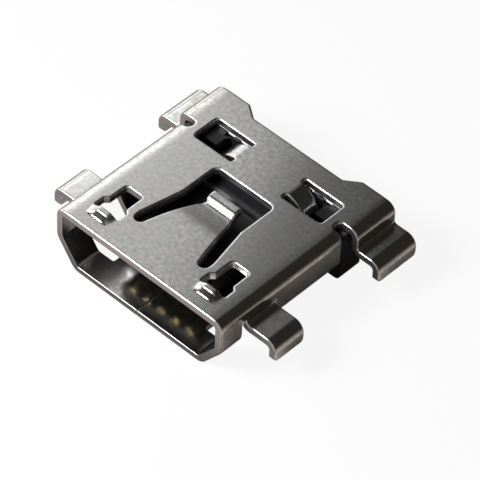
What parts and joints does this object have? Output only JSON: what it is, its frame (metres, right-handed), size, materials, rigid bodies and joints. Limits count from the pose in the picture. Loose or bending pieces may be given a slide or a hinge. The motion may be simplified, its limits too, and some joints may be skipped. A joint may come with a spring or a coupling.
{
  "type": "charging port",
  "caption": "Mid-mount micro charging receptacle: folded steel shell with board legs, latch windows and plug spring, round a black insulator with a contact tongue.",
  "frame": {"origin": "bottom centre of the part's box: on the shell's narrow plate, halfway from the mouth lip to the rear ears", "axes": "+X across the mouth, -Y out of the mouth towards the plug, +Z from the narrow plate up to the wide plate"},
  "size_m": [0.0102, 0.008, 0.0026],
  "materials": {
    "plated_steel": "stamped steel sheet with satin nickel plating",
    "black_resin": "moulded black resin, slightly glossy",
    "gold_plate": "gold-plated copper alloy"
  },
  "bodies": {
    "root": {"shell": "plated_steel", "insulator": "black_resin", "contact_1": "gold_plate", "contact_2": "gold_plate", "contact_3": "gold_plate", "contact_4": "gold_plate", "contact_5": "gold_plate"}
  },
  "joints": []
}
